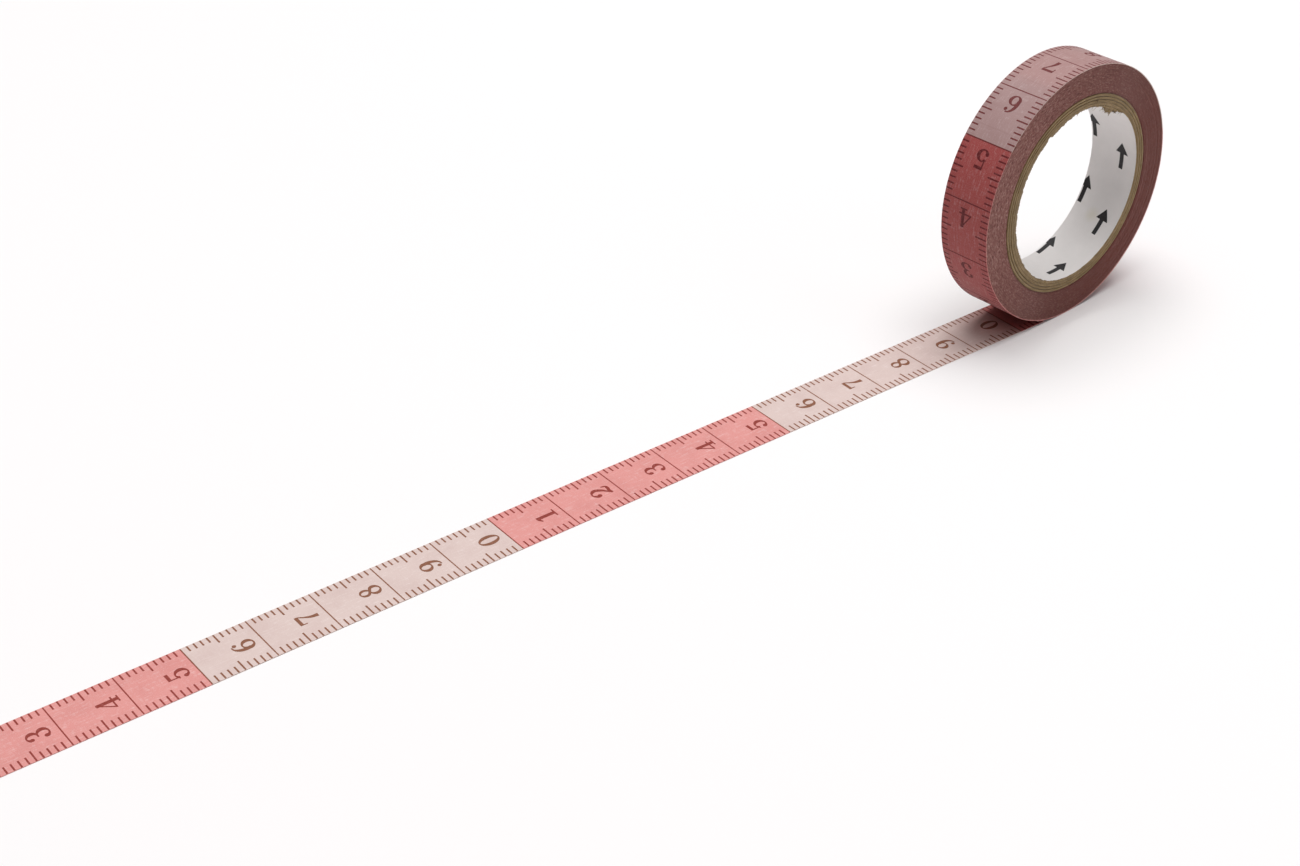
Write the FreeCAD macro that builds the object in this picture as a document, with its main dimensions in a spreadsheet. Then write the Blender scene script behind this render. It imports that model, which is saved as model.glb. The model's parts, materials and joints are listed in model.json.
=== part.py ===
import FreeCAD, Part
import math
import os
import Sketcher

# A roll of printed masking tape standing on its edge, with a length of the same tape laid out
# from under it.  Millimetres, +Z up.  The origin is the centre of the core's bore, +Y runs
# along the core's axis, and the laid tape leaves the roll towards -X.

os.makedirs("parts", exist_ok=True)
doc = FreeCAD.newDocument("masking_tape_roll")

# Driving dimensions, in millimetres and degrees.
dimensions = {
    "tapeWidth": 9.5,       # width of the tape, and of the core cut to suit it
    "tapeThick": 0.1,       # paper with its adhesive coat
    "rollRadius": 22.1,     # outside of the outermost turn
    "boreRadius": 15.4,     # inside of the liner paper
    "linerThick": 0.2,      # white liner paper
    "plyThick": 0.5,        # each of the three kraft board plies
    "seamGap": 0.25,        # width of the butt joint in a ply
    "seamSlant": 40.0,      # angle at which a spiral-wound ply's seam crosses the width
    "liftGap": 0.15,        # slit that marks where the outermost turn lifts off the roll
    "liftAngle": 12.0,      # that line's place, measured round from the lowest line of the roll
    "foldInner": 0.1,       # inside radius of the reverse fold
    "foldAxis": 5.0,        # distance of the fold's axis from the roll's lowest line
    "foldLeg": 1.0,         # flat lower leg of the fold
    "foldLip": 1.2,         # upper leg, which runs up along the roll
    "foldRise": 14.0,       # slope of the upper leg
    "hairline": 0.02,       # gap between the fold and the laid tape
    "laidLength": 200.0,    # tape laid out, from the fold to its free end
    "cutSkew": 0.6,         # how far the cut at the free end is out of square
    "layAngle": 4.5,        # angle between the laid tape and the plane of the roll
}
sheet = doc.addObject("Spreadsheet::Sheet", "sizes")
for row, (alias, value) in enumerate(dimensions.items(), start=1):
    sheet.set("A%d" % row, alias)
    sheet.set("B%d" % row, str(value))
    sheet.setAlias("B%d" % row, alias)
doc.recompute()

origin = (-1, 1)    # a sketch's own origin point, as constraints name it


def addSketch(body, name, role):
    """A sketch on the origin plane of the body that has this role."""
    plane = [feature for feature in body.Origin.OriginFeatures if feature.Role == role][0]
    sketch = body.newObject("Sketcher::SketchObject", name)
    sketch.AttachmentSupport = [(plane, "")]
    sketch.MapMode = "FlatFace"
    return sketch


def addLoop(sketch, points):
    """A closed loop of straight lines through the points."""
    corners = [FreeCAD.Vector(x, y, 0) for x, y in points]
    ends = corners[1:] + corners[:1]
    lines = [sketch.addGeometry(Part.LineSegment(a, b), False) for a, b in zip(corners, ends)]
    for line, following in zip(lines, lines[1:] + lines[:1]):
        sketch.addConstraint(Sketcher.Constraint("Coincident", line, 2, following, 1))
    return lines


def drive(sketch, kind, places, start, expression):
    """A dimension between places in the sketch, driven by an expression on the sheet."""
    index = sketch.addConstraint(Sketcher.Constraint(kind, *places, start))
    sketch.setExpression("Constraints[%d]" % index, expression)


def addPad(body, sketch, length, sides):
    pad = body.newObject("PartDesign::Pad", body.Name + "_pad")
    pad.Profile = sketch
    pad.SideType = sides
    pad.setExpression("Length", length)
    return pad


def addRing(label, inner, outer):
    """A tube as wide as the tape, between two radii given as expressions."""
    body = doc.addObject("PartDesign::Body", label)
    section = addSketch(body, label + "_section", "XZ_Plane")
    for radius, start in ((inner, 15.0), (outer, 23.0)):
        circle = Part.Circle(FreeCAD.Vector(0, 0, 0), FreeCAD.Vector(0, 0, 1), start)
        index = section.addGeometry(circle, False)
        section.addConstraint(Sketcher.Constraint("Coincident", index, 3, *origin))
        drive(section, "Radius", (index,), start, radius)
    addPad(body, section, "sizes.tapeWidth", "Symmetric")
    return body


def addSlit(body, gap, slant, place):
    """Cut a straight slit through the wall at the bottom, then turn the ring by place."""
    cut = addSketch(body, body.Name + "_slit_line", "XY_Plane")
    cut.setExpression("AttachmentOffset.Rotation.Angle", slant)
    lines = addLoop(cut, [(-1, -20), (1, -20), (1, 20), (-1, 20)])
    for index in (0, 2):
        cut.addConstraint(Sketcher.Constraint("Horizontal", lines[index]))
    for index in (1, 3):
        cut.addConstraint(Sketcher.Constraint("Vertical", lines[index]))
    cut.addConstraint(Sketcher.Constraint("Symmetric", lines[0], 1, lines[1], 2, *origin))
    drive(cut, "DistanceX", (lines[0], 1, lines[0], 2), 2.0, gap)
    drive(cut, "DistanceY", (lines[1], 1, lines[1], 2), 40.0, "4 * sizes.tapeWidth")
    slit = body.newObject("PartDesign::Pocket", body.Name + "_slit")
    slit.Profile = cut
    slit.Type = "ThroughAll"
    slit.Reversed = False
    body.Placement.Rotation = FreeCAD.Rotation(FreeCAD.Vector(0, 1, 0), 0)
    body.setExpression("Placement.Rotation.Axis.x", "0")
    body.setExpression("Placement.Rotation.Axis.y", "1")
    body.setExpression("Placement.Rotation.Axis.z", "0")
    body.setExpression("Placement.Rotation.Angle", place)
    return body


# The core: white liner paper, then three kraft plies with butt seams staggered round it.
plyRadius = "sizes.boreRadius + sizes.linerThick + %d * sizes.plyThick"
liner = addRing("core_liner", "sizes.boreRadius", plyRadius % 0)
plies = []
for index, (name, seamPlace) in enumerate((("inner", 205), ("middle", 322), ("outer", 88))):
    ply = addRing("core_ply_" + name, plyRadius % index, plyRadius % (index + 1))
    plies.append(addSlit(ply, "sizes.seamGap", "sizes.seamSlant", str(seamPlace)))

# The tape still on the roll: all the inner turns as one solid, and the outermost turn by itself.
wound = addRing("wound_tape", plyRadius % 3, "sizes.rollRadius - sizes.tapeThick")
outerTurn = addRing("outer_turn", "sizes.rollRadius - sizes.tapeThick", "sizes.rollRadius")
addSlit(outerTurn, "sizes.liftGap", "0", "sizes.liftAngle")


def layOut(body):
    """Turn a body's own X axis to the direction in which the tape is laid, at floor level."""
    body.setExpression("Placement.Rotation.Axis.x", "0")
    body.setExpression("Placement.Rotation.Axis.y", "0")
    body.setExpression("Placement.Rotation.Axis.z", "1")
    body.setExpression("Placement.Rotation.Angle", "-sizes.layAngle")
    body.setExpression("Placement.Base.z", "-sizes.rollRadius")
    return body


def addFold():
    """The reverse fold in the wedge between the roll and the floor.

    Its section is two concentric arcs with a flat lower leg and an upper leg that rises with
    the roll.  The section's Y axis is height above the floor.
    """
    body = doc.addObject("PartDesign::Body", "peel_fold")
    section = addSketch(body, "peel_fold_section", "XZ_Plane")
    thick = dimensions["tapeThick"]
    inner = dimensions["foldInner"]
    outer = inner + thick
    rise = math.radians(dimensions["foldRise"])
    axis = FreeCAD.Vector(-dimensions["foldAxis"], outer, 0)
    normal = FreeCAD.Vector(0, 0, 1)
    legs = []
    arcs = []
    for radius in (outer, inner):
        circle = Part.Circle(axis, normal, radius)
        arc = Part.ArcOfCircle(circle, -math.pi / 2, math.pi / 2 - rise)
        arcs.append(section.addGeometry(arc, False))
        low = axis + FreeCAD.Vector(0, -radius, 0)
        lower = Part.LineSegment(low - FreeCAD.Vector(dimensions["foldLeg"], 0, 0), low)
        high = axis + FreeCAD.Vector(radius * math.sin(rise), radius * math.cos(rise), 0)
        lipEnd = high + FreeCAD.Vector(-math.cos(rise), math.sin(rise), 0) * dimensions["foldLip"]
        upper = Part.LineSegment(high, lipEnd)
        legs.append((section.addGeometry(lower, False), section.addGeometry(upper, False)))
    ends = []
    for side, point in ((0, 1), (1, 2)):
        start = section.getPoint(legs[0][side], point)
        stop = section.getPoint(legs[1][side], point)
        end = section.addGeometry(Part.LineSegment(start, stop), False)
        section.addConstraint(Sketcher.Constraint("Coincident", end, 1, legs[0][side], point))
        section.addConstraint(Sketcher.Constraint("Coincident", end, 2, legs[1][side], point))
        section.addConstraint(Sketcher.Constraint("Perpendicular", end, legs[0][side]))
        ends.append(end)
    for arc, (lower, upper) in zip(arcs, legs):
        section.addConstraint(Sketcher.Constraint("Tangent", lower, 2, arc, 1))
        section.addConstraint(Sketcher.Constraint("Tangent", arc, 2, upper, 1))
    section.addConstraint(Sketcher.Constraint("Coincident", arcs[0], 3, arcs[1], 3))
    section.addConstraint(Sketcher.Constraint("Horizontal", legs[0][0]))
    drive(section, "Radius", (arcs[1],), inner, "sizes.foldInner")
    drive(section, "Radius", (arcs[0],), outer, "sizes.foldInner + sizes.tapeThick")
    drive(section, "DistanceX", (arcs[0], 3, *origin), dimensions["foldAxis"], "sizes.foldAxis")
    drive(section, "DistanceY", (*origin, arcs[0], 3), outer, "sizes.foldInner + sizes.tapeThick")
    drive(section, "Distance", (legs[0][0],), dimensions["foldLeg"], "sizes.foldLeg")
    drive(section, "Distance", (legs[0][1],), dimensions["foldLip"], "sizes.foldLip")
    drive(section, "Angle", (legs[0][1], 2, legs[0][0], 1), rise, "sizes.foldRise")
    addPad(body, section, "sizes.tapeWidth", "Symmetric")
    return layOut(body)


def addLaidTape():
    """The tape lying flat, from the fold's lower leg to the cut at its free end."""
    body = doc.addObject("PartDesign::Body", "laid_tape")
    outline = addSketch(body, "laid_tape_outline", "XY_Plane")
    near = -dimensions["foldAxis"] - dimensions["foldLeg"] - dimensions["hairline"]
    far = near - dimensions["laidLength"]
    half = dimensions["tapeWidth"] / 2
    skew = dimensions["cutSkew"]
    lines = addLoop(outline, [(near, -half), (near, half), (far, half), (far + skew, -half)])
    outline.addConstraint(Sketcher.Constraint("Vertical", lines[0]))
    outline.addConstraint(Sketcher.Constraint("Horizontal", lines[1]))
    outline.addConstraint(Sketcher.Constraint("Horizontal", lines[3]))
    nearGap = "sizes.foldAxis + sizes.foldLeg + sizes.hairline"
    drive(outline, "DistanceX", (lines[0], 1, *origin), -near, nearGap)
    drive(outline, "DistanceY", (lines[0], 1, *origin), half, "sizes.tapeWidth / 2")
    drive(outline, "DistanceY", (*origin, lines[0], 2), half, "sizes.tapeWidth / 2")
    drive(outline, "DistanceX", (lines[2], 1, lines[0], 2), near - far, "sizes.laidLength")
    drive(outline, "DistanceX", (lines[2], 1, lines[2], 2), skew, "sizes.cutSkew")
    addPad(body, outline, "sizes.tapeThick", "One side")
    return layOut(body)


fold = addFold()
laid = addLaidTape()
doc.recompute()

# Every object has to be sound, and the slits have to have cut, before anything is written.
for item in doc.Objects:
    if "Invalid" in item.State or "Error" in item.State:
        raise RuntimeError(item.Name + " failed: " + str(item.State))
pieces = [liner] + plies + [wound, outerTurn, fold, laid]
for piece in pieces:
    if piece.Shape.isNull() or not piece.Shape.isValid() or len(piece.Shape.Solids) != 1:
        raise RuntimeError(piece.Label + " is not one sound solid")
for ring in plies + [outerTurn]:
    pad = doc.getObject(ring.Name + "_pad")
    cutAway = pad.Shape.Volume - ring.Shape.Volume
    if not 0 < cutAway < 0.02 * pad.Shape.Volume:
        raise RuntimeError(ring.Label + " slit has not cut once through the wall")
    print("%s slit removes %.3f mm3" % (ring.Label, cutAway))

for piece in pieces:
    box = piece.Shape.BoundBox
    piece.Shape.exportStep("parts/%s.step" % piece.Label)
    print("%-18s volume %9.3f mm3  X %8.2f %8.2f  Y %6.2f %6.2f  Z %7.2f %7.2f" % (
        piece.Label, piece.Shape.Volume, box.XMin, box.XMax, box.YMin, box.YMax, box.ZMin, box.ZMax))
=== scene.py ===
import bpy
import json
import math
import random
from mathutils import Matrix, Vector, noise
from mathutils.geometry import delaunay_2d_cdt


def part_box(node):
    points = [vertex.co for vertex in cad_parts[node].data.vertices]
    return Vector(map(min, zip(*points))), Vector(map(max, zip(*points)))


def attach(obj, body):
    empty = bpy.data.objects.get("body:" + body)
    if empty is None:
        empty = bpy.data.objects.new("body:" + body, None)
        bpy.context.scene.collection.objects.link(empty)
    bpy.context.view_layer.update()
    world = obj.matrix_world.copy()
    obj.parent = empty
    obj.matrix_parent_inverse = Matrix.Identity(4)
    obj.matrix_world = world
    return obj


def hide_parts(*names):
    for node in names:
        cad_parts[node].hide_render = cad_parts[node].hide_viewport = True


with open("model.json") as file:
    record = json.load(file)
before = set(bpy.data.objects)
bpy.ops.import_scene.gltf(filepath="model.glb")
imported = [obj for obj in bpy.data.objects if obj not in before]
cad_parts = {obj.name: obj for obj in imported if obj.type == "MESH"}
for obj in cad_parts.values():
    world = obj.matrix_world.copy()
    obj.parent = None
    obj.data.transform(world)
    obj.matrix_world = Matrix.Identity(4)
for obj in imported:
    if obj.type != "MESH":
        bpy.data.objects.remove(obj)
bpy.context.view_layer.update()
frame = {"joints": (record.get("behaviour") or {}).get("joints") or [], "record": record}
mm = 0.001

# What the frame says, in millimetres.
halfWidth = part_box("outer_turn")[1].y / mm
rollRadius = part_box("outer_turn")[1].z / mm
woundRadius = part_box("wound_tape")[1].z / mm
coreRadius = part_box("core_ply_outer")[1].z / mm
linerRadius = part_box("core_liner")[1].z / mm
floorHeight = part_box("laid_tape")[0].z / mm
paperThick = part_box("laid_tape")[1].z / mm - floorHeight
boreRadius = [m for m in frame["record"]["mounts"] if m["name"] == "core_bore"][0]["dims"]["r_mm"]
pull = [j for j in frame["joints"] if j["name"] == "tape_pull"][0]
layAngle = math.atan2(pull["axis"][1], -pull["axis"][0])
print("frame read: roll radius %.2f mm, lay angle %.2f degrees" % (rollRadius, math.degrees(layAngle)))


class Wire:  # a socket's value, so that shader maths reads as plain arithmetic
    def __init__(self, finish, socket):
        self.finish = finish
        self.socket = socket

    def maths(self, operation, *values):
        return self.finish.maths(operation, *values)

    def __add__(self, other):
        return self.maths("ADD", self, other)

    def __sub__(self, other):
        return self.maths("SUBTRACT", self, other)

    def __rsub__(self, other):
        return self.maths("SUBTRACT", other, self)

    def __mul__(self, other):
        return self.maths("MULTIPLY", self, other)

    def __truediv__(self, other):
        return self.maths("DIVIDE", self, other)

    def __mod__(self, other):
        return self.maths("FLOORED_MODULO", self, other)

    def __pow__(self, other):
        return self.maths("POWER", self, other)

    def __lt__(self, other):
        return self.maths("LESS_THAN", self, other)

    def __gt__(self, other):
        return self.maths("GREATER_THAN", self, other)

    __radd__ = __add__
    __rmul__ = __mul__

    def floor(self):
        return self.maths("FLOOR", self)

    def size(self):
        return self.maths("ABSOLUTE", self)


class Finish:  # a material built from nodes around one Principled shader
    def __init__(self, name, **constants):
        self.material = bpy.data.materials.new(name)
        self.material.use_nodes = True
        self.tree = self.material.node_tree
        self.tree.nodes.clear()
        self.shader = self.tree.nodes.new("ShaderNodeBsdfPrincipled")
        output = self.tree.nodes.new("ShaderNodeOutputMaterial")
        self.tree.links.new(self.shader.outputs[0], output.inputs[0])
        for socket, value in constants.items():
            self.feed(self.shader.inputs[socket.replace("_", " ")], value)

    def feed(self, socket, value):
        if isinstance(value, Wire):
            self.tree.links.new(value.socket, socket)
        elif isinstance(value, tuple) and socket.type == "RGBA" and len(value) == 3:
            socket.default_value = (*value, 1)
        else:
            socket.default_value = value

    def node(self, kind, settings=None, inputs=(), output=0):
        made = self.tree.nodes.new("ShaderNode" + kind)
        for name, value in (settings or {}).items():
            setattr(made, name, value)
        for place, value in (inputs.items() if isinstance(inputs, dict) else enumerate(inputs)):
            self.feed(made.inputs[place], value)
        return Wire(self, made.outputs[output])

    def maths(self, operation, *values):
        return self.node("Math", {"operation": operation}, values)

    def mix(self, factor, first, second, how="MIX"):
        kind = {"data_type": "RGBA", "blend_type": how}
        return self.node("Mix", kind, {0: factor, 6: first, 7: second}, 2)

    def stretch(self, vector, factors):
        return self.node("VectorMath", {"operation": "MULTIPLY"}, (vector, factors))

    def split(self, vector):
        return [self.node("SeparateXYZ", None, (vector,), axis) for axis in range(3)]

    def grain(self, vector, scale, detail=3.0, rough=0.55):
        sockets = {"Vector": vector, "Scale": scale, "Detail": detail, "Roughness": rough}
        return self.node("TexNoise", None, sockets)

    def remap(self, value, low, high):  # 0 at low and below, 1 at high and above
        return self.node("MapRange", {"clamp": True}, (value, low, high))

    def wear(self, height, depth, strength=1.0):  # height from 0 to 1, depth in millimetres
        bump = self.node("Bump", None, {"Strength": strength, "Distance": depth * mm, "Height": height})
        self.feed(self.shader.inputs["Normal"], bump)

    def placeInMm(self):  # the point's place on the piece, in millimetres
        return self.stretch(self.node("TexCoord", output=3), (1 / mm, 1 / mm, 1 / mm))

    def colour(self, value):
        self.feed(self.shader.inputs["Base Color"], value)

    def rough(self, value):
        self.feed(self.shader.inputs["Roughness"], value)


class Sky(Finish):  # the studio's light from all round, built with the same node helpers
    def __init__(self, name):
        self.material = bpy.data.worlds.new(name)
        self.material.use_nodes = True
        self.tree = self.material.node_tree
        self.shader = self.tree.nodes["Background"]


def srgb(red, green, blue):  # a colour given as a screen shows it, as the shader's linear values
    return tuple((c / 255) ** 2.2 for c in (red, green, blue))


def addPiece(name, points, faces, finishes, uvs=None, places=None, smooth=True):
    mesh = bpy.data.meshes.new(name)
    mesh.from_pydata([Vector(p) * mm for p in points], [], faces)
    if uvs:
        layer = mesh.uv_layers.new(name="tapePlace")
        for loop in mesh.loops:
            layer.data[loop.index].uv = uvs[loop.vertex_index]
    for finish in finishes:
        mesh.materials.append(finish.material)
    if places:
        mesh.polygons.foreach_set("material_index", places)
    mesh.polygons.foreach_set("use_smooth", [smooth] * len(mesh.polygons))
    mesh.update()
    piece = bpy.data.objects.new(name, mesh)
    bpy.context.scene.collection.objects.link(piece)
    return piece


def sharpen(piece, degrees=35):  # flat shading across edges sharper than this
    piece.data.set_sharp_from_angle(angle=math.radians(degrees))
    return piece


def addRibbon(name, place, start, stop, step, columns, finishes, skew=0.0):
    # A closed strip of paper: place(along, across, height) puts a point of the tape in space.
    # The finishes are those of its printed side, its adhesive side and its cut edges.
    rows = max(2, round((stop - start) / step) + 1)
    width = columns + 1
    points = []
    uvs = []
    for height in (paperThick, 0.0):
        for row in range(rows):
            along = start + (stop - start) * row / (rows - 1)
            for column in range(width):
                across = halfWidth * (2 * column / columns - 1)
                lean = skew * (1 - column / columns) if row == 0 else 0.0
                points.append(place(along + lean, across, height))
                uvs.append((along + lean, across))
    faces = []
    under = rows * width
    for row in range(rows - 1):
        for column in range(columns):
            a = row * width + column
            faces.append((a, a + width, a + width + 1, a + 1))
            faces.append((under + a, under + a + 1, under + a + width + 1, under + a + width))
    for row in range(rows - 1):
        for edge, turn in ((0, 1), (columns, -1)):
            a = row * width + edge
            rim = (a, under + a, under + a + width, a + width)
            faces.append(rim[::turn])
    for row, turn in ((0, -1), (rows - 1, 1)):
        for column in range(columns):
            a = row * width + column
            cap = (a, under + a, under + a + 1, a + 1)
            faces.append(cap[::turn])
    grid = 2 * (rows - 1) * columns
    places = [index % 2 for index in range(grid)] + [2] * (len(faces) - grid)
    return sharpen(addPiece(name, points, faces, finishes, uvs, places))


# The printed scale: ticks, centimetre lines and figures, as a thin film of ink.

printing = {
    "tickEvery": 1.0,      # millimetres
    "tickWide": 0.26,
    "nearTick": 1.5,       # the ticks on the camera's side are a little longer
    "farTick": 1.3,
    "nearFive": 2.3,       # half-centimetre ticks
    "farFive": 2.05,
    "lineWide": 0.2,       # line across the whole tape at each centimetre
    "figureTall": 3.35,
    "figurePlace": 7.2,    # middle of a figure, from the start of its square
    "edge": 0.02,          # bare paper left at the tape's two edges
    "endGap": 0.1,         # and at the ends of each piece of tape
    "filmTop": 0.008,      # ink standing on the paper
    "filmBase": -0.004,    # and sunk into it
    "slice": 0.45,         # length of a figure's slices, so that it bends round the roll
}


def bow(cx, cy, rx, ry, start, stop, thick, thin, steps=28):
    # Part of an oval stroke, thick at its sides and thin at top and bottom, as broad-nib figures are.
    quads = []
    rim = []
    for step in range(steps + 1):
        turn = math.radians(start + (stop - start) * step / steps)
        c, s = math.cos(turn), math.sin(turn)
        outer = (cx + (rx + thick / 2) * c, cy + (ry + thin / 2) * s)
        inner = (cx + (rx - thick / 2) * c, cy + (ry - thin / 2) * s)
        rim.append((outer, inner))
    for (a, b), (c, d) in zip(rim, rim[1:]):
        quads.append((a, b, d, c))
    return quads


def stem(points, widths):
    # A straight-sided stroke through the points, as wide as said at each of them.
    sides = []
    for index, (x, y) in enumerate(points):
        before = points[max(0, index - 1)]
        after = points[min(len(points) - 1, index + 1)]
        run = math.hypot(after[0] - before[0], after[1] - before[1])
        nx, ny = -(after[1] - before[1]) / run, (after[0] - before[0]) / run
        half = widths[index] / 2
        sides.append(((x + nx * half, y + ny * half), (x - nx * half, y - ny * half)))
    return [(a, b, d, c) for (a, b), (c, d) in zip(sides, sides[1:])]


def swing(points, widths, steps=8):
    # A stem whose points are joined by a smooth curve.
    smooth = []
    pens = []
    ends = [points[0]] + list(points) + [points[-1]]
    for index in range(len(points) - 1):
        p0, p1, p2, p3 = ends[index:index + 4]
        for step in range(steps + (index == len(points) - 2)):
            u = step / steps
            smooth.append(tuple(
                0.5 * (2 * b + (c - a) * u + (2 * a - 5 * b + 4 * c - d) * u * u
                       + (3 * b - a - 3 * c + d) * u ** 3)
                for a, b, c, d in zip(p0, p1, p2, p3)))
            pens.append(widths[index] + (widths[index + 1] - widths[index]) * u)
    return stem(smooth, pens)


def ball(cx, cy, radius):
    turns = [2 * math.pi * step / 14 for step in range(14)]
    return [[(cx + radius * math.cos(turn), cy + radius * math.sin(turn)) for turn in turns]]


def bar(left, low, right, high):
    return [[(left, low), (right, low), (right, high), (left, high)]]


def halfTurned(parts):
    return [[(-x, 1 - y) for x, y in part] for part in parts]


# Each figure stands on y = 0, reaches y = 1 and is centred on x = 0.
sixParts = (bow(0.01, 0.29, 0.245, 0.255, 0, 360, 0.19, 0.07)
            + bow(0.09, 0.47, 0.325, 0.495, 78, 205, 0.20, 0.07) + ball(0.2, 0.83, 0.095))
figureParts = {
    0: bow(0, 0.5, 0.255, 0.465, 0, 360, 0.2, 0.07),
    1: bar(-0.1, 0.02, 0.1, 0.99) + bar(-0.27, 0, 0.27, 0.075)
       + [[(-0.1, 0.99), (-0.29, 0.86), (-0.29, 0.79), (-0.1, 0.84)]],
    2: bow(0.0, 0.70, 0.235, 0.265, -25, 172, 0.2, 0.07) + ball(-0.2, 0.69, 0.11)
       + swing([(0.213, 0.588), (0.07, 0.38), (-0.13, 0.22), (-0.28, 0.08)], [0.2, 0.15, 0.09, 0.09])
       + swing([(-0.31, 0.06), (-0.12, 0.115), (0.1, 0.07), (0.25, 0.1), (0.32, 0.3)],
               [0.12, 0.15, 0.16, 0.12, 0.045]),
    3: bow(-0.03, 0.74, 0.215, 0.225, -88, 150, 0.19, 0.07) + ball(-0.2, 0.8, 0.095)
       + bow(-0.03, 0.275, 0.26, 0.24, -155, 88, 0.2, 0.07) + ball(-0.24, 0.2, 0.105)
       + bar(-0.14, 0.48, 0.0, 0.545),
    4: bar(0.03, 0.03, 0.22, 0.98) + bar(-0.37, 0.245, 0.37, 0.32) + bar(-0.08, 0, 0.34, 0.07)
       + stem([(0.16, 0.985), (-0.34, 0.28)], [0.07, 0.07]),
    5: bar(-0.24, 0.5, -0.17, 0.97) + stem([(-0.24, 0.91), (0.25, 0.91)], [0.15, 0.15])
       + bow(-0.03, 0.31, 0.255, 0.275, -155, 145, 0.2, 0.07) + ball(-0.24, 0.2, 0.105),
    6: sixParts,
    7: bar(-0.31, 0.83, 0.33, 0.99) + bar(-0.31, 0.66, -0.25, 0.9)
       + swing([(0.3, 0.84), (0.12, 0.56), (0.01, 0.3), (-0.02, 0.02)], [0.06, 0.1, 0.17, 0.22]),
    8: bow(0, 0.745, 0.195, 0.22, 0, 360, 0.15, 0.07) + bow(0, 0.275, 0.25, 0.24, 0, 360, 0.18, 0.07)
       + stem([(-0.17, 0.62), (0.17, 0.42)], [0.12, 0.12]),
    9: halfTurned(sixParts),
}


def unite(parts):
    # One flat triangle mesh from parts that overlap: (points, triangles).
    points = []
    outlines = []
    for part in parts:
        area = sum(a[0] * b[1] - b[0] * a[1] for a, b in zip(part, list(part[1:]) + [part[0]]))
        ordered = part if area > 0 else part[::-1]
        outlines.append(list(range(len(points), len(points) + len(part))))
        points.extend(Vector(p) for p in ordered)
    found = delaunay_2d_cdt(points, [], outlines, 0, 1e-5, True)
    kept = [tuple(face) for face, source in zip(found[2], found[5]) if source]
    return [tuple(p) for p in found[0]], kept


def sliced(parts, low, high, count):
    # Cuts each convex part by level lines, so that the figure can bend between them.
    pieces = []
    for part in parts:
        rest = list(part)
        for cut in [low + (high - low) * step / count for step in range(1, count)]:
            below = []
            above = []
            for a, b in zip(rest, rest[1:] + rest[:1]):
                (below if a[1] <= cut else above).append(a)
                if (a[1] - cut) * (b[1] - cut) < 0:
                    share = (cut - a[1]) / (b[1] - a[1])
                    crossing = (a[0] + (b[0] - a[0]) * share, cut)
                    below.append(crossing)
                    above.append(crossing)
            if len(below) > 2:
                pieces.append(below)
            rest = above
            if len(rest) < 3:
                break
        if len(rest) > 2:
            pieces.append(rest)
    return pieces


def openEdges(flat):
    # The flat mesh's edges that have a face on one side only.  They get side walls.
    triangles = flat[1]
    edges = {}
    for face in triangles:
        for a, b in zip(face, face[1:] + face[:1]):
            edges[(a, b)] = True
    return [(a, b) for a, b in edges if (b, a) not in edges]


figureSlices = max(1, round(printing["figureTall"] / printing["slice"]))
figures = {digit: unite(sliced(parts, 0, 1, figureSlices)) for digit, parts in figureParts.items()}
rims = {digit: openEdges(flat) for digit, flat in figures.items()}
dashShape = ([(0, 0), (1, 0), (1, 1), (0, 1)], [(0, 1, 2, 3)])
dashRim = openEdges(dashShape)


def filmFaces(flat, rim, first):
    # The faces of a film: its top points start at first, and its base points follow them.
    count = len(flat[0])
    faces = [tuple(first + i for i in face) for face in flat[1]]
    faces.extend(tuple(first + count + i for i in face[::-1]) for face in flat[1])
    faces.extend((first + a, first + count + a, first + count + b, first + b) for a, b in rim)
    return faces


def addPrint(name, place, start, stop, finish):
    # All the marks between two places along the tape, bent to lie where place() puts the paper.
    points = []
    faces = []
    uvs = []
    top = paperThick + printing["filmTop"]
    base = paperThick + printing["filmBase"]

    def stamp(flat, rim, put):
        faces.extend(filmFaces(flat, rim, len(points)))
        for height in (top, base):
            for x, y in flat[0]:
                along, across = put(x, y)
                points.append(place(along, across, height))
                uvs.append((along, across))

    def dash(along, wide, low, high):
        stamp(dashShape, dashRim, lambda x, y: (along - (y - 0.5) * wide, low + (high - low) * x))

    edge = halfWidth - printing["edge"]
    tall = printing["figureTall"]
    for millimetre in range(math.ceil(start), math.floor(stop) + 1):
        along = millimetre * printing["tickEvery"]
        if not start + printing["endGap"] < along < stop - printing["endGap"]:
            continue
        if millimetre % 10 == 0:
            dash(along, printing["lineWide"], -edge, edge)
            continue
        five = millimetre % 5 == 0
        dash(along, printing["tickWide"], -edge, -edge + printing["nearFive" if five else "nearTick"])
        dash(along, printing["tickWide"], edge - printing["farFive" if five else "farTick"], edge)
    for square in range(math.floor(start / 10), math.ceil(stop / 10)):  # the figures, one to a square
        middle = 10 * square + printing["figurePlace"]
        if start + tall / 2 < middle < stop - tall / 2:
            digit = (square + 1) % 10
            stamp(figures[digit], rims[digit], lambda x, y: (middle - (y - 0.5) * tall, x * tall))
    return addPiece(name, points, faces, (finish,), uvs, smooth=False)


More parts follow.
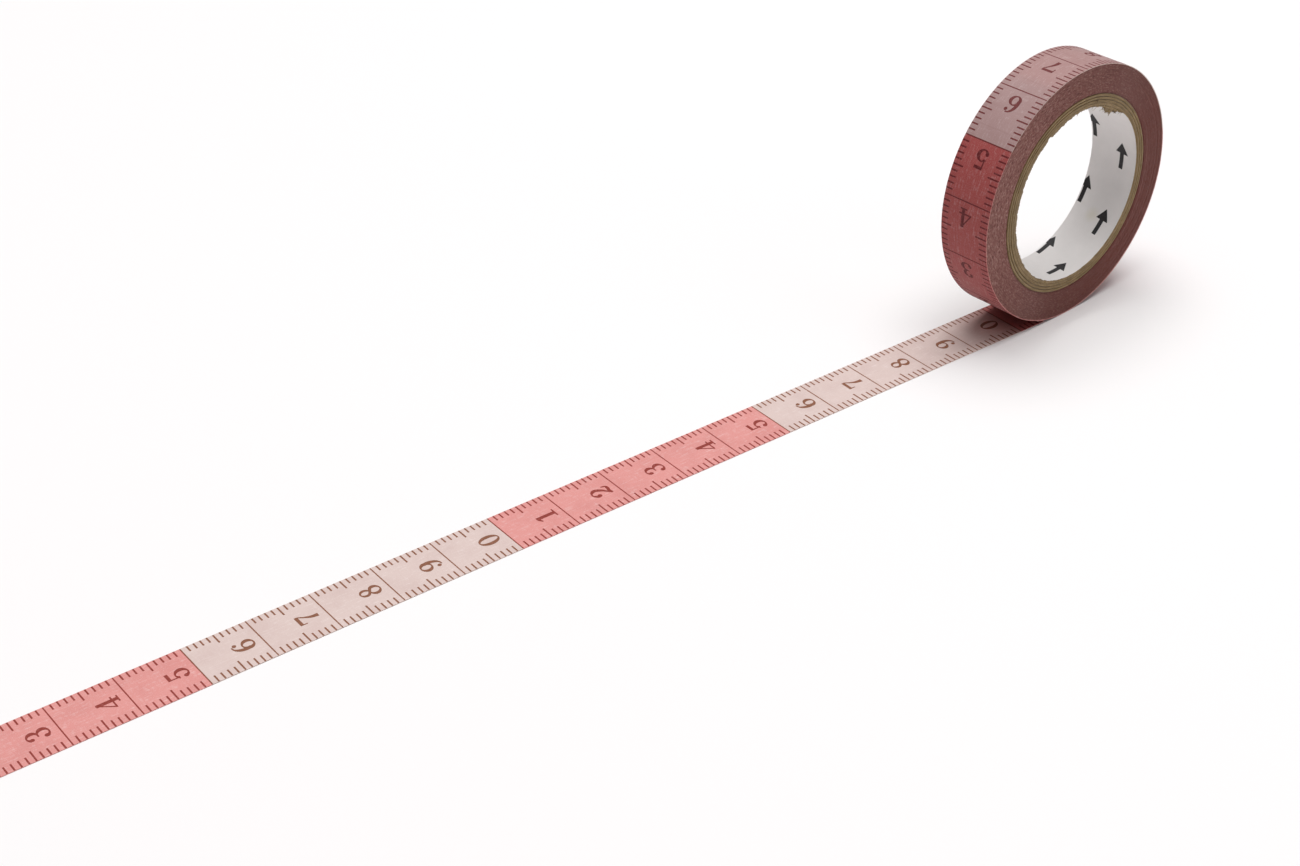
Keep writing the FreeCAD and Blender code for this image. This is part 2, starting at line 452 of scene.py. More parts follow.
# Where the tape lies.  A place along it is in millimetres of its own printed scale.
tape = {
    "layOffset": 9.87,      # reading of the scale below the roll's axis, on the laid tape
    "rollOffset": 0.93,     # and where the outermost turn would meet the floor
    "foldInner": 0.1,
    "foldLeg": 1.0,
    "foldLip": 1.2,
    "foldRise": 14.0,       # degrees
    "slitAngle": 12.0,      # degrees round the roll to the line where the outermost turn lifts off
    "slitHalf": 0.075,      # half that line's gap
    "gateExtra": 20.0,      # the hidden block that cuts the spare away is this much longer
    "gateTall": 4.0,
    "spare": pull["range_m"][1] / mm,   # tape that lies hidden under the roll until it is fed out
}
layCos, laySin = math.cos(layAngle), math.sin(layAngle)
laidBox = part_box("laid_tape")
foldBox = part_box("peel_fold")
nearEnd = (laidBox[1].x / mm - halfWidth * laySin) / layCos
farEnd = (halfWidth * layCos - laidBox[1].y / mm) / laySin
farSkew = (laidBox[0].x / mm + halfWidth * laySin) / layCos - farEnd
foldOuter = tape["foldInner"] + paperThick
foldAxis = (foldBox[1].x / mm - halfWidth * laySin) / layCos - foldOuter
bendLength = math.radians(180 - tape["foldRise"]) * (foldOuter - paperThick / 2)
lipStart = foldAxis + tape["layOffset"] + bendLength


def layPlace(along, across, height):
    out = along - tape["layOffset"]
    return (out * layCos + across * laySin, across * layCos - out * laySin, floorHeight + height)


def rollPlace(along, across, height):
    turn = (along - tape["rollOffset"]) / rollRadius
    radius = woundRadius + height
    return (-radius * math.sin(turn), across, -radius * math.cos(turn))


def foldPlace(along, across, height):
    # Flat along the floor, round the bend with the print inside, then up along the roll.
    past = along - foldAxis - tape["layOffset"]
    bend = math.radians(180 - tape["foldRise"])
    turn = min(max(past / bendLength, 0.0), 1.0) * bend
    straight = min(past, 0.0) + max(past - bendLength, 0.0)
    radius = foldOuter - height
    out = foldAxis + radius * math.sin(turn) + straight * math.cos(turn)
    rise = foldOuter - radius * math.cos(turn) + straight * math.sin(turn)
    return layPlace(out + tape["layOffset"], across, rise)


# Paper: thin washi, whose long fibres show as pale streaks in the printed colour.
paper = {
    "laidPink": srgb(218, 143, 138),
    "laidBeige": srgb(213, 191, 185),
    "rollPink": srgb(160, 71, 69),
    "rollBeige": srgb(168, 139, 137),
    "inkOnPink": srgb(138, 56, 48),
    "inkOnBeige": srgb(130, 86, 64),
    "rollInkOnPink": srgb(92, 26, 30),
    "rollInkOnBeige": srgb(104, 48, 48),
    "laidStreak": 0.5,      # how strongly the fibres show
    "rollStreak": 0.28,
    "ghosts": 0.25,         # how strongly the turn beneath shows through on the roll
    "foldShadeFrom": (-17.5, -9.5),   # where the painted shade of the wedge under the roll starts on the laid paper, darkening towards the fold, and ends
    "foldShadeTone": (0.42, 0.19, 0.18),
    "foldShadeStrength": 0.9,
    "roughness": 0.62,
}
squareRun = 50.0            # five squares of one colour, then five of the other


def tapePlace(finish):
    return finish.node("UVMap", {"uv_map": "tapePlace"})


def pinkMask(along):
    return ((along + 0.04) % (2 * squareRun)) < squareRun


def softPinkMask(finish, along):  # the same with blurred edges, for paper seen through paper
    wave = finish.maths("PINGPONG", along + 2.5 * squareRun, squareRun)
    return finish.remap(wave, squareRun / 2 - 1.2, squareRun / 2 + 1.2)


def paintFoldShade(finish, tone):
    # Painted shade: by its place along x in the world, the paper is darkened towards the fold to stand in
    # for the shade in the wedge under the roll.
    x = finish.split(finish.stretch(finish.node("NewGeometry"), (1 / mm, 1 / mm, 1 / mm)))[0]
    paintedShade = finish.remap(x, *paper["foldShadeFrom"]) * paper["foldShadeStrength"]
    return finish.mix(paintedShade, tone, paper["foldShadeTone"], "MULTIPLY")


def addPaper(name, pink, beige, streak, ghosts=0.0, foldShaded=False):
    finish = Finish(name, Specular_IOR_Level=0.35, Sheen_Weight=0.12, Sheen_Roughness=0.5)
    place = tapePlace(finish)
    along, across = finish.split(place)[:2]
    fibres = finish.grain(finish.stretch(place, (0.5, 3.2, 1)), 1.0, 5.0, 0.65)
    cross = finish.grain(finish.stretch(place, (2.6, 0.7, 1)), 1.0, 4.0, 0.6)
    speckle = finish.grain(place, 9.0, 2.0, 0.6)
    cloud = finish.grain(place, 0.22, 3.0, 0.5)
    tone = finish.mix(pinkMask(along), beige, pink)
    if ghosts:  # the turns beneath show through: their squares' colours, lines and ticks
        for turn, strength in ((1, ghosts), (2, ghosts * 0.5)):
            below = along + turn * 2 * math.pi * (woundRadius - turn * paperThick)
            shift = finish.mix(softPinkMask(finish, below), srgb(236, 232, 234), srgb(252, 206, 200))
            tone = finish.mix(strength, tone, shift, "MULTIPLY")
            line = (below + 0.1) % 10 < 0.22
            tick = ((below + 0.1) % 1 < 0.22) * (across.size() > halfWidth - 1.5)
            mark = finish.maths("MAXIMUM", line, tick)
            tone = finish.mix(mark * (strength * 0.3), tone, paper["rollInkOnPink"])
    pale = finish.remap(fibres * 0.65 + cross * 0.35, 0.52, 0.78)
    tone = finish.mix(pale * streak, tone, (0.95, 0.86, 0.84))
    dark = finish.remap(cloud, 0.42, 0.72)
    tone = finish.mix(dark * 0.16, tone, (0.55, 0.36, 0.36), "MULTIPLY")
    tone = finish.mix(finish.remap(speckle, 0.55, 0.75) * (streak * 0.64), tone, (0.98, 0.92, 0.9))
    # When asked, painted shade darkens the paper towards the fold.
    finish.colour(paintFoldShade(finish, tone) if foldShaded else tone)
    finish.rough(paper["roughness"] - pale * 0.12 + speckle * 0.1)
    finish.wear(fibres * 0.5 + speckle * 0.3 + cross * 0.2, 0.02, 0.5)
    return finish


def addInk(name, onPink, onBeige, foldShaded=False):
    finish = Finish(name, Specular_IOR_Level=0.3)
    place = tapePlace(finish)
    along = finish.split(place)[0]
    worn = finish.grain(finish.stretch(place, (1.5, 2.5, 1)), 1.6, 4.0, 0.7)
    tone = finish.mix(pinkMask(along), onBeige, onPink)
    tone = finish.mix(finish.remap(worn, 0.5, 0.8) * 0.35, tone, paper["laidPink"])
    # When asked, painted shade darkens the ink towards the fold.
    finish.colour(paintFoldShade(finish, tone) if foldShaded else tone)
    finish.rough(0.55 + worn * 0.15)
    return finish


def addUnderside():
    # The adhesive side: the colours show through, dulled, under a thin glossy coat.
    finish = Finish("adhesiveSide", Specular_IOR_Level=0.5, Coat_Weight=0.3, Coat_Roughness=0.25)
    place = tapePlace(finish)
    along = finish.split(place)[0]
    tone = finish.mix(pinkMask(along), srgb(214, 196, 188), srgb(216, 160, 154))
    smear = finish.grain(finish.stretch(place, (0.3, 1.1, 1)), 1.0, 3.0, 0.6)
    finish.colour(finish.mix(smear * 0.3, tone, srgb(236, 226, 214)))
    finish.rough(0.3 + smear * 0.2)
    return finish


def addCutEdge():
    # The slit edge of the paper, where the fibres are pale and the colour has soaked in.
    finish = Finish("cutEdge", Specular_IOR_Level=0.3)
    place = tapePlace(finish)
    mask = pinkMask(finish.split(place)[0])
    fibre = finish.grain(finish.stretch(place, (3.0, 3.0, 1)), 1.0, 3.0, 0.6)
    dull = finish.mix(mask, srgb(196, 166, 156), srgb(198, 112, 110))
    pale = finish.mix(mask, srgb(224, 204, 196), srgb(232, 176, 170))
    finish.colour(finish.mix(finish.remap(fibre, 0.35, 0.7), dull, pale))
    finish.rough(0.75 + fibre * 0.1)
    return finish


# The laid paper and its ink carry painted shade towards the fold.
laidFinish = addPaper("laidPaper", paper["laidPink"], paper["laidBeige"], paper["laidStreak"],
                      foldShaded=True)
rollFinish = addPaper("rollPaper", paper["rollPink"], paper["rollBeige"], paper["rollStreak"],
                      paper["ghosts"])
laidInk = addInk("laidInk", paper["inkOnPink"], paper["inkOnBeige"], foldShaded=True)
rollInk = addInk("rollInk", paper["rollInkOnPink"], paper["rollInkOnBeige"])
underside = addUnderside()
cutEdge = addCutEdge()
print("paper and ink mixed")

# The laid tape, with the spare length that the roll will pay out.  A gate at the fold hides it.
layStart = farEnd + tape["layOffset"]
layStop = nearEnd + tape["layOffset"]
laidPaper = addRibbon("laidPaper", layPlace, layStart, layStop + tape["spare"], 1.0, 6,
                      (laidFinish, underside, cutEdge), farSkew)
laidPrint = addPrint("laidPrint", layPlace, layStart + farSkew, layStop + tape["spare"], laidInk)
gateSize = (tape["spare"] + tape["gateExtra"], 3 * halfWidth, tape["gateTall"])
gateMiddle = layPlace(layStop + gateSize[0] / 2, 0, 0)
bpy.ops.mesh.primitive_cube_add(size=1, location=Vector(gateMiddle) * mm)
feedGate = bpy.context.active_object
feedGate.name = "feedGate"
feedGate.scale = Vector(gateSize) * mm
feedGate.rotation_euler = (0, 0, -layAngle)
feedGate.display_type = "WIRE"
feedGate.hide_render = True
for piece in (laidPaper, laidPrint):
    gate = piece.modifiers.new("feedGate", "BOOLEAN")
    gate.operation = "DIFFERENCE"
    gate.solver = "EXACT"
    gate.object = feedGate

foldStart = foldAxis - tape["foldLeg"] + tape["layOffset"]
foldStop = lipStart + tape["foldLip"]
foldPaper = addRibbon("foldPaper", foldPlace, foldStart, foldStop, 0.05, 4,
                      (laidFinish, underside, cutEdge))
foldPrint = addPrint("foldPrint", foldPlace, foldStart, foldStop, laidInk)

turnStart = tape["rollOffset"] + math.radians(tape["slitAngle"]) * rollRadius + tape["slitHalf"]
turnStop = turnStart + 2 * math.pi * rollRadius - 2 * tape["slitHalf"]
outerTurnPaper = addRibbon("outerTurnPaper", rollPlace, turnStart, turnStop, 0.6, 6,
                           (rollFinish, underside, cutEdge))
outerTurnPrint = addPrint("outerTurnPrint", rollPlace, turnStart, turnStop, rollInk)
print("tape laid, folded and wound: %d mm of printed scale" % (turnStop - layStart))


# The wound turns: every turn's edge is its own ridge, none quite level with the next.
winding = {
    "around": 320,
    "groove": 0.06,         # depth of the grooves between turns
    "sunk": 0.03,           # how far the edges stand back from the outermost turn's
    "uneven": 0.05,
    "ridge": (0.02, 0.062),     # where a turn's ridge starts and ends, from its inner face
    "innerSunk": 0.12,      # the two turns next to the core stand further back
    "swell": 0.02,          # each turn wanders in and out by up to this
    "seed": 11,
    "paleSide": srgb(151, 104, 96),    # the paler tone, towards -x and the top of the side faces
    "darkSide": srgb(121, 62, 51),
    "fleck": srgb(204, 160, 154),
    "inkFleck": srgb(76, 38, 36),
}


def spun(angle, radius, y):
    return (-radius * math.sin(angle), y, -radius * math.cos(angle))


def ringFaces(rings, count):
    # The faces of a closed ring made of rings of points, each with count of them.
    faces = []
    for step in range(rings):
        here = step * count
        there = (step + 1) % rings * count
        for index in range(count):
            after = (index + 1) % count
            faces.append((here + index, here + after, there + after, there + index))
    return faces


def addTube(name, profile, around, finishes, wobble):
    # A closed ring whose section is the profile's (radius, y) points; wobble moves a point a little.
    points = []
    for step in range(around):
        angle = 2 * math.pi * step / around
        for index, (radius, y) in enumerate(profile):
            moved = wobble(index, angle)
            points.append(spun(angle, radius + moved[0], y + moved[1]))
    return addPiece(name, points, ringFaces(around, len(profile)), finishes)


def addWinding(finish):
    draw = random.Random(winding["seed"])
    turns = round((woundRadius - coreRadius) / paperThick)
    profile = [(coreRadius, 0.0)]
    swells = [(0.0, 0.0)]
    for side in (-1, 1):
        order = range(turns) if side < 0 else range(turns - 1, -1, -1)
        for turn in order:
            low = coreRadius + turn * paperThick
            ridge = halfWidth - winding["sunk"] - draw.random() * winding["uneven"]
            ridge -= winding["innerSunk"] if turn < 2 else 0.0
            edge = [(low + place, ridge) for place in winding["ridge"]]
            groove = (low + paperThick, ridge - winding["groove"])
            if side < 0:
                steps = edge + [groove]
            else:
                steps = [groove] + edge[::-1]
            swell = (draw.random() * winding["swell"], draw.random() * 2 * math.pi)
            for radius, y in steps:
                profile.append((radius, side * y))
                swells.append(swell)

    def wobble(index, angle):
        depth, phase = swells[index]
        return (0.0, depth * math.sin(angle + phase) + 0.4 * depth * math.sin(7 * angle + 3 * phase))

    profile.reverse()
    swells.reverse()
    return sharpen(addTube("woundTurns", profile, winding["around"], (finish,), wobble), 60)


def addWindingFinish():
    finish = Finish("woundEdges", Specular_IOR_Level=0.3, Sheen_Weight=0.15, Sheen_Roughness=0.6)
    place = finish.placeInMm()
    x, y, z = finish.split(place)
    radius = (x * x + z * z) ** 0.5
    turn = ((radius - coreRadius) / paperThick).floor()
    along = finish.maths("ARCTAN2", x, z) * 20.0
    spiral = finish.node("CombineXYZ", None, (along, turn * 3.7, finish.maths("SIGN", y)))
    dash = finish.grain(spiral, 1.3, 3.0, 0.7)
    bundle = finish.node("CombineXYZ", None, (along * 1.5, radius * 3.6, finish.maths("SIGN", y)))
    flecks = finish.grain(bundle, 1.3, 2.0, 0.6)
    # Paler, rougher and more flecked towards -x and the top of the side faces, and darker towards +x and
    # the bottom, with some noise.
    paleShare = finish.remap(x * 0.75 - z * 0.35 + finish.grain(place, 0.12) * 10, 16.0, -14.0)
    tone = finish.mix(paleShare, winding["darkSide"], winding["paleSide"])
    fleck = finish.remap(dash * 0.35 + flecks * 0.65, 0.52, 0.66) * (0.1 + paleShare * 0.7)
    tone = finish.mix(fleck, tone, winding["fleck"])
    ink = finish.remap(dash * 0.35 + flecks * 0.65, 0.48, 0.36) * (0.15 + paleShare * 0.65)
    tone = finish.mix(ink, tone, winding["inkFleck"])
    finish.colour(tone)
    finish.rough(0.62 + paleShare * 0.2)
    finish.wear(dash * 0.6 + flecks * 0.4, 0.05, 0.6)
    return finish


woundTurns = addWinding(addWindingFinish())
print("winding made: %d faces" % len(woundTurns.data.polygons))


# The core: three kraft plies whose butt joints cross the width at a slant, and a white liner.
core = {
    "around": 288,
    "seams": {"inner": 205.0, "middle": 322.0, "outer": 88.0},  # degrees round from the lowest line
    "slant": 40.0,
    "gap": 0.1,
    "ply": 0.5,             # thickness of one ply
    "jointTone": srgb(84, 64, 36),
    "ragged": 0.05,         # unevenness of the cut edges
    "inset": 0.03,          # how far the plies' edges stand back from the tape's
    "linerInset": {-1: 0.14, 1: 0.02},  # and the liner's, at the front and at the back
    "clear": 0.004,         # gap between one ring and the next
    "kraft": srgb(170, 141, 99),
    "kraftDark": srgb(112, 90, 52),
    "kraftPale": srgb(196, 176, 138),
    "liner": srgb(228, 223, 221),
    "mark": srgb(34, 30, 32),
}


def fluff(seed, angle, radius, scale, side=0.0):
    # A smooth random value from -1 to 1 that closes on itself round the ring.
    return noise.fractal(Vector((math.sin(angle) * radius * scale, math.cos(angle) * radius * scale,
                                 seed + side)), 0.7, 2.0, 4)


def addPly(name, inner, seam, seed, finish):
    outer = inner + core["ply"] - core["clear"]
    rows = [(inner + 0.1, -1, 0.0), (inner, -1, 0.11), (inner, 0, 0.0), (inner, 1, 0.11),
            (inner + 0.1, 1, 0.0), (outer - 0.22, 1, -0.015), (outer - 0.08, 1, 0.0), (outer, 1, 0.1),
            (outer, 0, 0.0), (outer, -1, 0.1), (outer - 0.08, -1, 0.0), (outer - 0.22, -1, -0.015)]
    around = core["around"]
    points = []
    for step in range(around + 1):
        for index, (radius, side, inset) in enumerate(rows):
            y = side * (halfWidth - core["inset"] - inset)
            shear = math.radians(seam) + math.asin(y * math.tan(math.radians(core["slant"])) / radius)
            half = core["gap"] / 2 / radius / math.cos(math.radians(core["slant"]))
            angle = shear + half + (2 * math.pi - 2 * half) * step / around
            fuzz = fluff(seed, angle, radius, 1.6, side) * core["ragged"]
            fine = fluff(seed + 40, angle, radius, 5.0, side + index) * core["ragged"] * 0.4
            points.append(spun(angle, radius, y - side * abs(fuzz) + side * fine))
    count = len(rows)
    faces = []
    for step in range(around):
        here = step * count
        for index in range(count):
            after = (index + 1) % count
            faces.append((here + index, here + after, here + count + after, here + count + index))
    faces.append(tuple(range(count))[::-1])
    faces.append(tuple(range(around * count, (around + 1) * count)))
    return sharpen(addPiece(name, points, faces, (finish,)), 50)


def addKraft():
    finish = Finish("kraftBoard", Specular_IOR_Level=0.25, Sheen_Weight=0.2, Sheen_Roughness=0.6)
    place = finish.placeInMm()
    x, y, z = finish.split(place)
    radius = (x * x + z * z) ** 0.5
    around = finish.maths("ARCTAN2", x, z) * 16.0
    fibres = finish.grain(finish.node("CombineXYZ", None, (around * 0.5, radius * 5.0, y)), 1.2, 5.0, 0.7)
    pulp = finish.grain(place, 3.2, 5.0, 0.7)
    patches = finish.grain(place, 0.3, 2.0, 0.5)
    tone = finish.mix(finish.remap(fibres, 0.35, 0.7), core["kraftDark"], core["kraft"])
    tone = finish.mix(finish.remap(pulp, 0.55, 0.75) * 0.5, tone, core["kraftPale"])
    tone = finish.mix(finish.remap(patches, 0.4, 0.7) * 0.35, tone, core["kraftDark"])
    joint = finish.maths("PINGPONG", radius - linerRadius + fibres * 0.08, core["ply"] / 2)
    tone = finish.mix(finish.remap(joint, 0.1, 0.02) * 0.6, tone, core["jointTone"])
    finish.colour(tone)
    finish.rough(0.85 + pulp * 0.1)
    finish.wear(fibres * 0.6 + pulp * 0.4, 0.12, 0.8)
    return finish


def addLinerFinish():
    finish = Finish("linerPaper", Specular_IOR_Level=0.45)
    place = finish.placeInMm()
    mottle = finish.grain(place, 0.5, 4.0, 0.6)
    fine = finish.grain(place, 7.0, 2.0, 0.6)
    tone = finish.mix(mottle * 0.5, core["liner"], srgb(208, 204, 202))
    stain = finish.node("VectorMath", {"operation": "DISTANCE"},
                        (place, spun(math.radians(310), linerRadius, 0.6)), 1)
    tone = finish.mix(finish.remap(stain + fine * 1.2, 2.2, 0.9) * 0.3, tone, srgb(206, 196, 160))
    finish.colour(tone)
    finish.rough(0.42 + mottle * 0.15)
    finish.wear(fine * 0.5 + mottle * 0.5, 0.02, 0.5)
    return finish


def addMarkInk():
    finish = Finish("markInk", Specular_IOR_Level=0.4)
    place = finish.placeInMm()
    worn = finish.grain(place, 2.4, 4.0, 0.7)
    finish.colour(finish.mix(finish.remap(worn, 0.5, 0.85) * 0.3, core["mark"], srgb(96, 90, 92)))
    finish.rough(0.5 + worn * 0.15)
    return finish


kraft = addKraft()
linerFinish = addLinerFinish()
plies = {}
for index, (name, seam) in enumerate(core["seams"].items()):
    label = "corePly" + name.capitalize()
    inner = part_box("core_ply_" + name)[1].z / mm - core["ply"]
    plies[name] = addPly(label, inner, seam, 10 + index, kraft)

linerOuter = linerRadius - core["clear"]
linerProfile = [(boreRadius, -1), (boreRadius, -0.5), (boreRadius, 0.5), (boreRadius, 1),
                (linerOuter, 1), (linerOuter, 0), (linerOuter, -1)]
linerPoints = [(radius, share * (halfWidth - core["linerInset"][1 if share > 0 else -1]))
               for radius, share in linerProfile]


def linerWobble(index, angle):
    share = linerProfile[index][1]
    if abs(share) < 1:
        return (0.0, 0.0)
    return (0.0, -share * 0.04 * abs(fluff(70, angle, boreRadius, 1.2, share)))


coreLiner = sharpen(addTube("coreLiner", linerPoints, core["around"], (linerFinish,), linerWobble), 40)
print("core made")


# A plain slanted arrow, repeated in two rows round the liner, points the way the tape unwinds.
arrows = {
    "long": 4.8,
    "tall": 2.5,
    "slant": 0.12,
    "head": 2.016,
    "shaft": 0.4,           # half the shaft's thickness
    "rows": ((-1.6, 267.0), (4.1, 251.6)),      # place across the width, and first arrow's angle
    "count": 8,
    "film": 0.012,          # ink standing on the liner
    "sunk": 0.006,          # and sunk into it
    "edge": 0.05,           # bare paper along the liner's back edge
    "slices": 10,
}


def clipped(part, limit):
    # The piece of a convex outline that lies below a level line.
    kept = []
    for a, b in zip(part, part[1:] + part[:1]):
        if a[1] <= limit:
            kept.append(a)
        if (a[1] - limit) * (b[1] - limit) < 0:
            share = (limit - a[1]) / (b[1] - a[1])
            kept.append((a[0] + (b[0] - a[0]) * share, limit))
    return kept


def addArrows(finish):
    long, tall, head, shaft = arrows["long"], arrows["tall"], arrows["head"], arrows["shaft"]
    neck = long / 2 - head
    outline = [[(-long / 2, -shaft), (neck, -shaft), (neck, shaft), (-long / 2, shaft)],
               [(neck, -tall / 2), (long / 2, 0), (neck, tall / 2)]]
    swapped = [[(y, x) for x, y in part] for part in outline]
    cut = [[(y, x) for x, y in part] for part in sliced(swapped, -long / 2, long / 2, arrows["slices"])]
    points = []
    faces = []
    for across, first in arrows["rows"]:
        for number in range(arrows["count"]):
            middle = math.radians(first + number * 360 / arrows["count"])
            leaned = [[(x + y * arrows["slant"], y + across) for x, y in part] for part in cut]
            # The liner's back edge cuts through one of the rows.
            trimmed = [clipped(part, halfWidth - arrows["edge"]) for part in leaned]
            flat = unite([part for part in trimmed if len(part) > 2])
            faces.extend(filmFaces(flat, openEdges(flat), len(points)))
            for depth in (arrows["film"], -arrows["sunk"]):
                for x, y in flat[0]:
                    points.append(spun(middle - x / boreRadius, boreRadius - depth, y))
    return addPiece("linerArrows", points, faces, (finish,), smooth=False)


linerArrows = addArrows(addMarkInk())
print("liner marked")


# The knife has rolled a burr of kraft over the liner's front edge, and torn it at the top.
fray = {
    "burr": 0.1,            # how far the burr stands into the bore all round
    "wide": (82.0, 75.0, 0.58),     # a wider stretch: its middle and spread in degrees, its reach
    "nick": (146.5, 1.3),   # a nick just before the tear: its middle and spread
    "tear": (148.0, 192.0, 0.36),   # from and to, in degrees round from the lowest line, and its reach
    "tuft": (207.0, 8.0, 1.45),     # middle, spread and reach of the torn tuft
    "thick": 0.16,
    "rough": 0.025,
    "around": 1440,
    "fibres": 70,
    "fibreLong": (0.35, 1.0),
    "fibreThick": 0.04,
    "seed": 5,
}


def hump(degrees, middle, spread):
    away = (degrees - middle + 180) % 360 - 180
    return math.exp(-(away / spread) ** 2)


def burrReach(degrees):
    angle = math.radians(degrees)
    start, stop, reach = fray["tear"]
    along = (degrees - start) / (stop - start)
    torn = 0.0
    if 0 < along < 1.2:
        torn = reach * min(1.0, along * 40) * min(1.0, (1.2 - along) * 5) * (1.0 - 0.35 * along)
    torn *= 0.8 + 0.4 * fluff(80, angle, 15, 1.1) + 0.25 * fluff(81, angle, 15, 3.2)
    middle, spread, extra = fray["tuft"]
    ragged = 0.85 + 0.5 * fluff(82, angle, 15, 2.2) + 0.35 * fluff(86, angle, 15, 6.0)
    tuft = extra * hump(degrees, middle, spread) ** 0.6 * ragged
    wide = fray["burr"] + fray["wide"][2] * hump(degrees, *fray["wide"][:2])
    rim = wide * (1.0 + 0.2 * fluff(87, angle, 15, 0.8) + 0.12 * fluff(88, angle, 15, 4.0))
    return max(0.02, (rim + torn) * (1 - hump(degrees, *fray["nick"])) + tuft)


def addBurr(finish):
    steps = fray["around"]
    front = -halfWidth + 0.02
    thick = fray["thick"]
    points = []
    for step in range(steps):
        degrees = 360 * step / steps
        angle = math.radians(degrees)
        reach = burrReach(degrees)
        curl = 0.15 * reach * fluff(83, angle, 15, 0.9) + 0.1 * reach
        tip = boreRadius - reach
        for radius, y in ((linerRadius + 0.1, front), (boreRadius - 0.02, front - 0.01),
                          (tip + 0.05, front + curl), (tip, front + curl + 0.04),
                          (tip + 0.06, front + curl + thick * 0.6), (boreRadius - 0.02, front + thick),
                          (linerRadius + 0.1, front + thick)):
            rough = fray["rough"] * fluff(84, angle, radius, 4.0, y)
            points.append(spun(angle, radius, y + rough))
    return sharpen(addPiece("coreBurr", points, ringFaces(steps, len(points) // steps), (finish,)), 50)


def addFibres(finish):
    # Loose kraft fibres along the burr: thin tapered hairs, each a bent closed spike.
    draw = random.Random(fray["seed"])
    points = []
    faces = []
    for number in range(fray["fibres"]):
        tufted = number % 2 == 0
        middle, spread, extra = fray["tuft"]
        start, stop, reach = fray["tear"]
        degrees = draw.gauss(middle, spread * 0.7) if tufted else draw.uniform(start + 2, stop)
        angle = math.radians(degrees)
        radius = boreRadius - burrReach(degrees) * draw.uniform(0.3, 0.9)
        base = Vector(spun(angle, radius, -halfWidth + draw.uniform(0.04, 0.14)))
        inward = -Vector(spun(angle, 1, 0))
        along = Vector(spun(angle + math.pi / 2, 1, 0))
        aim = (inward * draw.uniform(0.3, 1.0) + along * draw.uniform(-1.0, 1.0)
               + Vector((0, 1, 0)) * draw.uniform(-0.05, 0.6)).normalized()
        bend = (along * draw.uniform(-1, 1) + Vector((0, 1, 0)) * draw.uniform(0, 1)).normalized()
        long = draw.uniform(*fray["fibreLong"])
        side = aim.cross(bend).normalized()
        other = aim.cross(side)
        first = len(points)
        for ring in range(5):
            share = ring / 5
            centre = base + aim * long * share + bend * long * 0.35 * share * share
            thick = fray["fibreThick"] * (1 - share * 0.7)
            for corner in range(4):
                turn = math.pi / 2 * corner
                points.append(centre + (side * math.cos(turn) + other * math.sin(turn)) * thick)
        points.append(base + aim * long + bend * long * 0.35)
        for ring in range(4):
            for corner in range(4):
                a = first + ring * 4 + corner
                b = first + ring * 4 + (corner + 1) % 4
                faces.append((a, b, b + 4, a + 4))
        tip = len(points) - 1
        for corner in range(4):
            faces.append((first + 16 + corner, first + 16 + (corner + 1) % 4, tip))
        faces.append((first + 3, first + 2, first + 1, first))
    return addPiece("coreFibres", points, faces, (finish,))


coreBurr = addBurr(kraft)
coreFibres = addFibres(kraft)
print("torn core edge made")

# Every piece rides on its body, and the CAD parts that the pieces stand in for are hidden.
rides = {
    "strip": (laidPaper, laidPrint),
    "fold": (foldPaper, foldPrint, feedGate),
    "roll": (outerTurnPaper, outerTurnPrint, woundTurns, coreLiner, linerArrows, coreBurr, coreFibres,
             *plies.values()),
}
for body, pieces in rides.items():
    for piece in pieces:
        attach(piece, body)
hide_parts("laid_tape")
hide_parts("peel_fold")
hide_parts("outer_turn")
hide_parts("wound_tape")
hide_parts("core_liner")
for name, ply in plies.items():
    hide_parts("core_ply_" + name)

# A plain pale floor, wide enough that its edge is never in view.
studio = {
    "floor": 12.0,          # metres across
    "floorGap": 0.02,       # millimetres below the tape
    "floorTone": srgb(242, 239, 239),
    "skyTop": 0.70,         # brightness straight up, and at the horizon
    "skyLow": 0.10,
    "overhead": {"place": (0.16, 0.12, 1.5), "size": 1.4, "power": 20.9},
    "fill": {"place": (0.3, -0.8, 0.5), "size": 0.6, "power": 0.45},
    "aim": (-0.05, 0.0, 0.0),
}


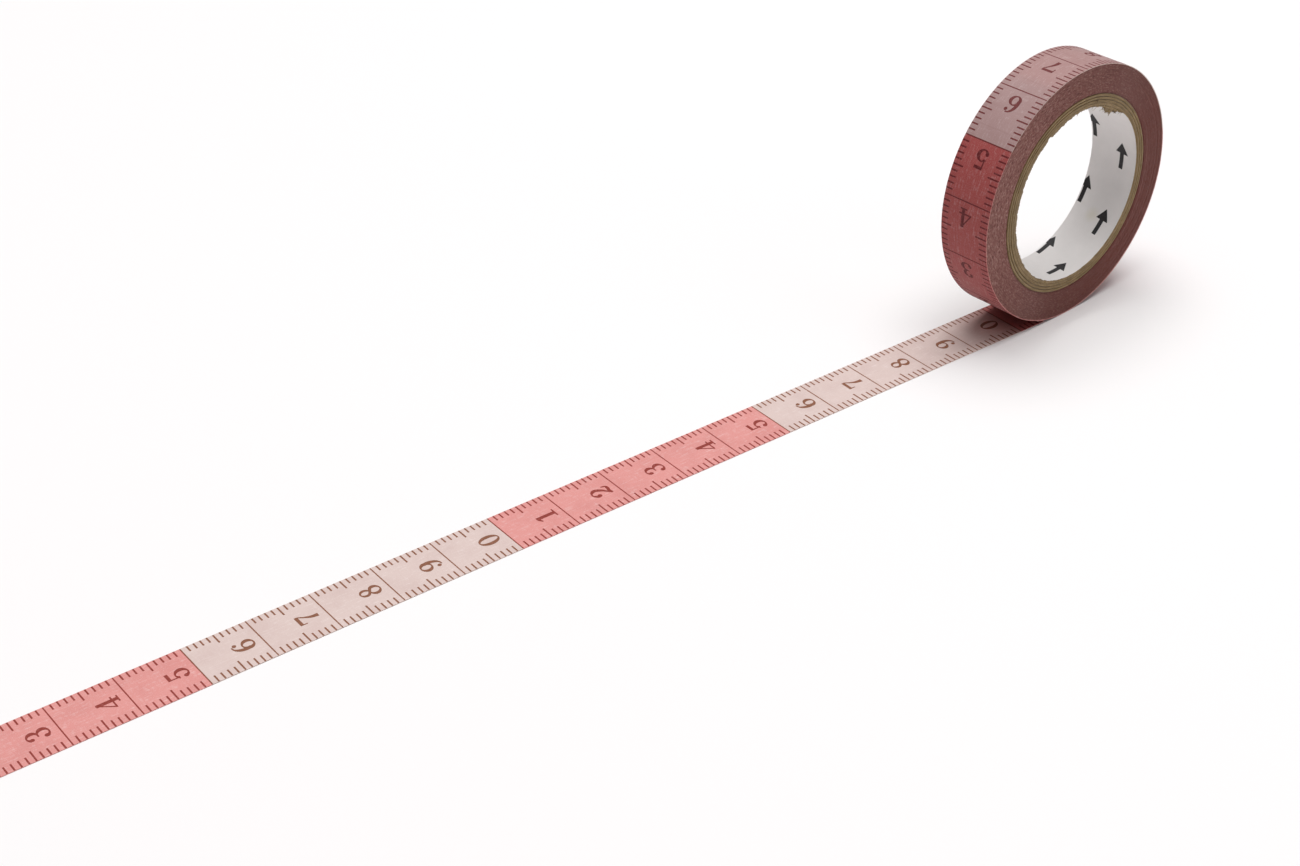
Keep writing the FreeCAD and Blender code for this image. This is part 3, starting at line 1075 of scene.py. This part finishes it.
def addFloor():
    half = studio["floor"] / 2 / mm
    z = floorHeight - studio["floorGap"]
    finish = Finish("studioFloor", Specular_IOR_Level=0.1)
    place = finish.node("TexCoord", output=3)
    drift = finish.grain(place, 3.0, 2.0, 0.5)
    finish.colour(finish.mix(drift * 0.2, studio["floorTone"], srgb(244, 244, 245)))
    finish.rough(0.8 + drift * 0.1)
    corners = [(-half, -half, z), (half, -half, z), (half, half, z), (-half, half, z)]
    return addPiece("studioFloor", corners, [(0, 1, 2, 3)], (finish,))


def addLamp(name, place, size, power):
    light = bpy.data.lights.new(name, "AREA")
    light.shape = "DISK"
    light.size = size
    light.energy = power
    lamp = bpy.data.objects.new(name, light)
    bpy.context.scene.collection.objects.link(lamp)
    lamp.location = place
    lamp.rotation_euler = (Vector(studio["aim"]) - Vector(place)).to_track_quat("-Z", "Y").to_euler()


addFloor()
addLamp("overhead", **studio["overhead"])
addLamp("fill", **studio["fill"])
sky = Sky("studioSky")
up = sky.split(sky.node("TexCoord"))[2]
sky.feed(sky.shader.inputs["Color"], (1.0, 1.0, 1.0))
height = sky.remap(up, 0.0, 1.0) ** 2
glow = studio["skyLow"] + (studio["skyTop"] - studio["skyLow"]) * height
sky.feed(sky.shader.inputs["Strength"], glow)
bpy.context.scene.world = sky.material
bpy.context.scene.view_settings.view_transform = "Standard"

# The camera looks down on the tape from the left, along the roll's open side.
view = {
    "eye": (-271.2, -208.5, 169.6),
    "azimuth": 41.17,       # degrees from +Y towards +X
    "drop": 32.90,          # degrees below level
    "tilt": -0.77,
    "lens": 63.07,
    "sensor": 36.0,
}
cameraData = bpy.data.cameras.new("studioCamera")
cameraData.lens = view["lens"]
cameraData.sensor_width = view["sensor"]
cameraData.clip_start = 0.005
camera = bpy.data.objects.new("studioCamera", cameraData)
bpy.context.scene.collection.objects.link(camera)
turned = (Matrix.Rotation(-math.radians(view["azimuth"]), 4, "Z")
          @ Matrix.Rotation(math.radians(90 - view["drop"]), 4, "X")
          @ Matrix.Rotation(math.radians(view["tilt"]), 4, "Z"))
camera.matrix_world = Matrix.Translation(Vector(view["eye"]) * mm) @ turned
bpy.context.scene.camera = camera
print("floor, light and camera set")
